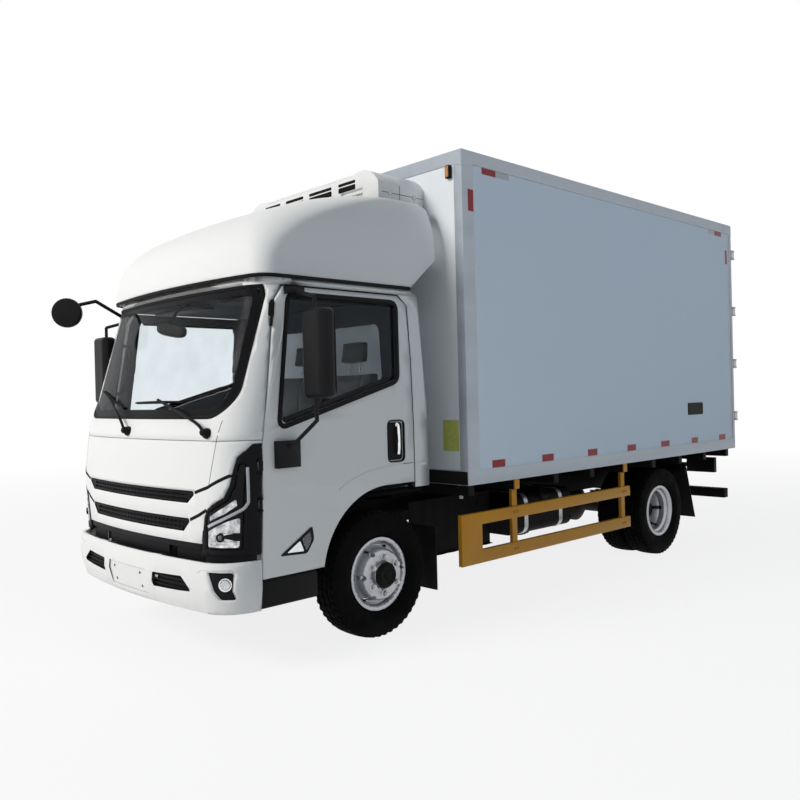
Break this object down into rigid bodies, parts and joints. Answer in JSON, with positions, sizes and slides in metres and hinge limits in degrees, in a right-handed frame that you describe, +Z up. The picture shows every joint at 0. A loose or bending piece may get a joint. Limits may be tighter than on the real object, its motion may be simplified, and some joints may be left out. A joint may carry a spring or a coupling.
{
  "type": "refrigerated truck",
  "caption": "Light cab-over refrigerated truck: tilting cab with roof fairing, insulated box with cooling unit, rear doors, side guards and twin rear wheels.",
  "frame": {"origin": "on the ground under the middle of the truck's overall length and width", "axes": "+Z up, -Y towards the front of the truck, +X to its left side"},
  "size_m": [2.556, 5.8809, 3.067],
  "materials": {
    "cab_paint": "gloss warm white",
    "box_panel": "smooth white gelcoat panel",
    "edge_alloy": "satin extrusion",
    "chassis_black": "satin black",
    "black_plastic": "fine grain",
    "guard_yellow": "gloss orange yellow",
    "wheel_silver": "silver wheel paint",
    "tyre_rubber": "black rubber",
    "cast_iron": "dark casting",
    "bare_steel": "zinc plated",
    "tinted_glass": "blue green tint",
    "lamp_clear": "clear lamp cover",
    "mirror_black": "moulded housing",
    "seat_cloth": "woven cloth",
    "dash_grey": "soft grain",
    "flap_rubber": "matt rubber"
  },
  "bodies": {
    "chassis": {"battery_box": "black_plastic", "box_edge_rails": "edge_alloy", "box_floor": "box_panel", "box_rear_frame": "edge_alloy", "box_roof": "box_panel", "box_wall_front": "box_panel", "box_wall_left": "box_panel", "box_wall_right": "box_panel", "engine_block": "cast_iron", "exhaust_silencer": "bare_steel", "fog_lamps": "lamp_clear", "front_axle": "cast_iron", "front_bumper": "cab_paint", "fuel_tank": "chassis_black", "ladder_frame": "chassis_black", "leaf_springs": "chassis_black", "mud_flaps": "flap_rubber", "propeller_shaft": "chassis_black", "rear_axle": "cast_iron", "rear_underrun_bar": "chassis_black", "refrigeration_unit": "cab_paint", "side_guards": "guard_yellow", "side_steps": "black_plastic", "signal_lamps": "black_plastic"},
    "cab": {"cab_back": "cab_paint", "cab_floor": "chassis_black", "cab_front": "cab_paint", "cab_glass": "tinted_glass", "cab_roof": "cab_paint", "dashboard": "dash_grey", "front_mirror": "mirror_black", "front_panel": "cab_paint", "grille": "black_plastic", "headlamp_surrounds": "black_plastic", "headlamps": "lamp_clear", "roof_fairing": "cab_paint", "seats": "seat_cloth", "steering_wheel": "black_plastic"},
    "tie_rod": {"tie_rod": "bare_steel"},
    "cab_door_left": {"door_left": "cab_paint", "door_glass_left": "tinted_glass", "mirror_left": "mirror_black"},
    "cargo_door_left": {"cargo_door_left": "box_panel", "lock_gear_left": "bare_steel"},
    "steering_left": {"knuckle_left": "cast_iron"},
    "front_wheel_left": {"tyre_front_left": "tyre_rubber", "rim_front_left": "wheel_silver"},
    "rear_wheels_left": {"tyre_rear_left": "tyre_rubber", "rim_rear_left": "wheel_silver"},
    "cab_door_right": {"door_right": "cab_paint", "door_glass_right": "tinted_glass", "mirror_right": "mirror_black"},
    "cargo_door_right": {"cargo_door_right": "box_panel", "lock_gear_right": "bare_steel"},
    "steering_right": {"knuckle_right": "cast_iron"},
    "front_wheel_right": {"tyre_front_right": "tyre_rubber", "rim_front_right": "wheel_silver"},
    "rear_wheels_right": {"tyre_rear_right": "tyre_rubber", "rim_rear_right": "wheel_silver"}
  },
  "joints": [
    {"name": "cab_tilt", "type": "hinge", "parent": "chassis", "child": "cab", "pos_m": [0, -2.8, 0.64], "axis": [1, 0, 0], "range_deg": [0, 45]},
    {"name": "cab_door_left", "type": "hinge", "parent": "cab", "child": "cab_door_left", "pos_m": [0.952, -2.606, 1], "axis": [0, 0, -1], "range_deg": [0, 70]},
    {"name": "cargo_door_left", "type": "hinge", "parent": "chassis", "child": "cargo_door_left", "pos_m": [1.1, 2.924, 1.9], "axis": [0, 0, -1], "range_deg": [0, 270]},
    {"name": "steer_left", "type": "hinge", "parent": "chassis", "child": "steering_left", "pos_m": [0.74, -1.75, 0.387], "axis": [0, 0, 1], "range_deg": [-35, 35]},
    {"name": "front_wheel_left", "type": "hinge", "parent": "steering_left", "child": "front_wheel_left", "pos_m": [0.852, -1.75, 0.387], "axis": [1, 0, 0], "continuous": true},
    {"name": "rear_wheels_left", "type": "hinge", "parent": "chassis", "child": "rear_wheels_left", "pos_m": [0.77, 1.61, 0.387], "axis": [1, 0, 0], "continuous": true},
    {"name": "cab_door_right", "type": "hinge", "parent": "cab", "child": "cab_door_right", "pos_m": [-0.952, -2.606, 1], "axis": [0, 0, 1], "range_deg": [0, 70]},
    {"name": "cargo_door_right", "type": "hinge", "parent": "chassis", "child": "cargo_door_right", "pos_m": [-1.1, 2.924, 1.9], "axis": [0, 0, 1], "range_deg": [0, 270]},
    {"name": "steer_right", "type": "hinge", "parent": "chassis", "child": "steering_right", "pos_m": [-0.74, -1.75, 0.387], "axis": [0, 0, 1], "range_deg": [-35, 35]},
    {"name": "front_wheel_right", "type": "hinge", "parent": "steering_right", "child": "front_wheel_right", "pos_m": [-0.852, -1.75, 0.387], "axis": [1, 0, 0], "continuous": true},
    {"name": "rear_wheels_right", "type": "hinge", "parent": "chassis", "child": "rear_wheels_right", "pos_m": [-0.77, 1.61, 0.387], "axis": [1, 0, 0], "continuous": true},
    {"name": "tie_rod_pivot", "type": "hinge", "parent": "steering_left", "child": "tie_rod", "pos_m": [0.74, -1.58, 0.29], "axis": [0, 0, 1], "range_deg": [-35, 35]}
  ],
  "couplings": [
    {"joint": "steer_right", "follows": "steer_left", "ratio": 1},
    {"joint": "tie_rod_pivot", "follows": "steer_left", "ratio": -1}
  ]
}
